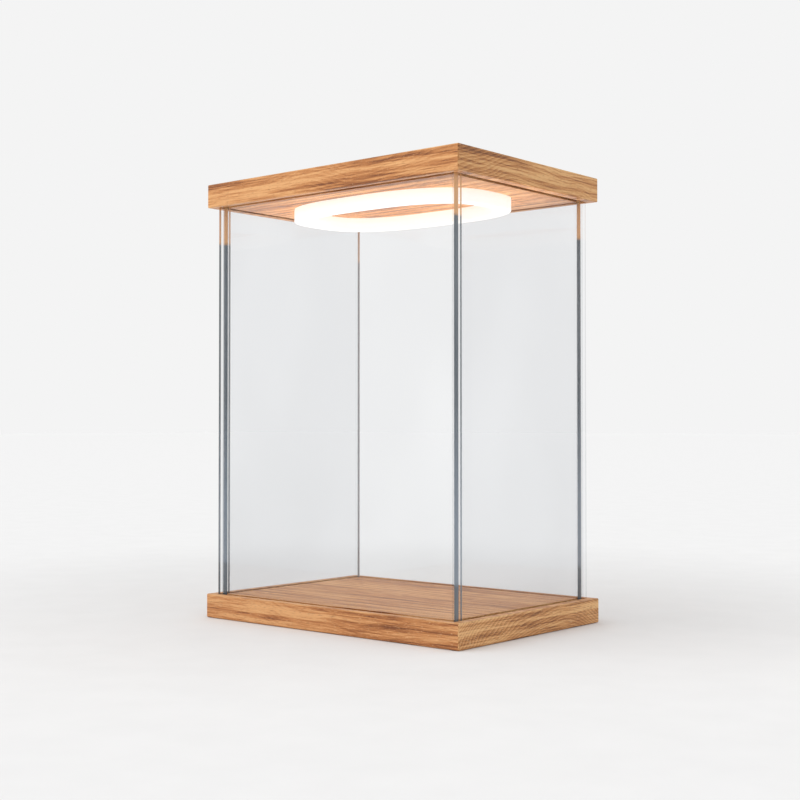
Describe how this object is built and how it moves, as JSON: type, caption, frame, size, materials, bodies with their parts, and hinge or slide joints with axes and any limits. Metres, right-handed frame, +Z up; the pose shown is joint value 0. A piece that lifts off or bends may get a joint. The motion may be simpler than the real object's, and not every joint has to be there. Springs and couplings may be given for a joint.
{
  "type": "lit display case",
  "caption": "Upright oblong display case: wooden base, four clear acrylic walls, and a lift-off wooden lid with a glowing oval ring lamp under it.",
  "frame": {"origin": "centre of the base board's underside", "axes": "+X along the long side, to the right seen from the front; +Y to the rear, where the lid's charging socket and button are; +Z up"},
  "size_m": [0.165, 0.115, 0.224],
  "materials": {
    "wood": "oiled, satin, straight grain",
    "acrylic": "clear, polished",
    "lamp_tray": "rolled, satin",
    "opal": "opal, lit from behind",
    "led_board": "white solder mask",
    "led": "yellow phosphor, lit",
    "battery": "crinkled foil",
    "driver_board": "green solder mask",
    "socket_steel": "drawn, bright",
    "screw_steel": "zinc plated",
    "black_plastic": "fine texture",
    "button": "smooth",
    "red_lead": "soft sleeve",
    "black_lead": "soft sleeve"
  },
  "bodies": {
    "base": {"base_board": "wood"},
    "walls": {"wall_front": "acrylic", "wall_rear": "acrylic", "wall_left": "acrylic", "wall_right": "acrylic"},
    "lid": {"lid_board": "wood", "lamp_tray": "lamp_tray", "lamp_diffuser": "opal", "led_board": "led_board", "led_01": "led", "led_02": "led", "led_03": "led", "led_04": "led", "led_05": "led", "led_06": "led", "led_07": "led", "led_08": "led", "led_09": "led", "led_10": "led", "led_11": "led", "led_12": "led", "led_13": "led", "led_14": "led", "led_15": "led", "led_16": "led", "led_17": "led", "led_18": "led", "led_19": "led", "led_20": "led", "lamp_screw_1": "screw_steel", "lamp_screw_2": "screw_steel", "lamp_screw_3": "screw_steel", "lamp_screw_4": "screw_steel", "battery": "battery", "driver_board": "driver_board", "inlet_shell": "socket_steel", "inlet_tongue": "black_plastic", "switch_body": "black_plastic", "rear_plate": "black_plastic", "plate_screw_1": "screw_steel", "plate_screw_2": "screw_steel", "battery_lead_red": "red_lead", "battery_lead_black": "black_lead", "lamp_lead_red": "red_lead", "lamp_lead_black": "black_lead"},
    "button": {"switch_button": "button"}
  },
  "joints": [
    {"name": "walls_lift", "type": "slide", "parent": "base", "child": "walls", "axis": [0, 0, 1], "range_m": [0, 0.03]},
    {"name": "lid_lift", "type": "slide", "parent": "walls", "child": "lid", "axis": [0, 0, 1], "range_m": [0, 0.03]},
    {"name": "button_press", "type": "slide", "parent": "lid", "child": "button", "axis": [0, -1, 0], "range_m": [0, 0.0006], "stiffness_N_per_m": 800, "springref_m": -0.0004}
  ]
}
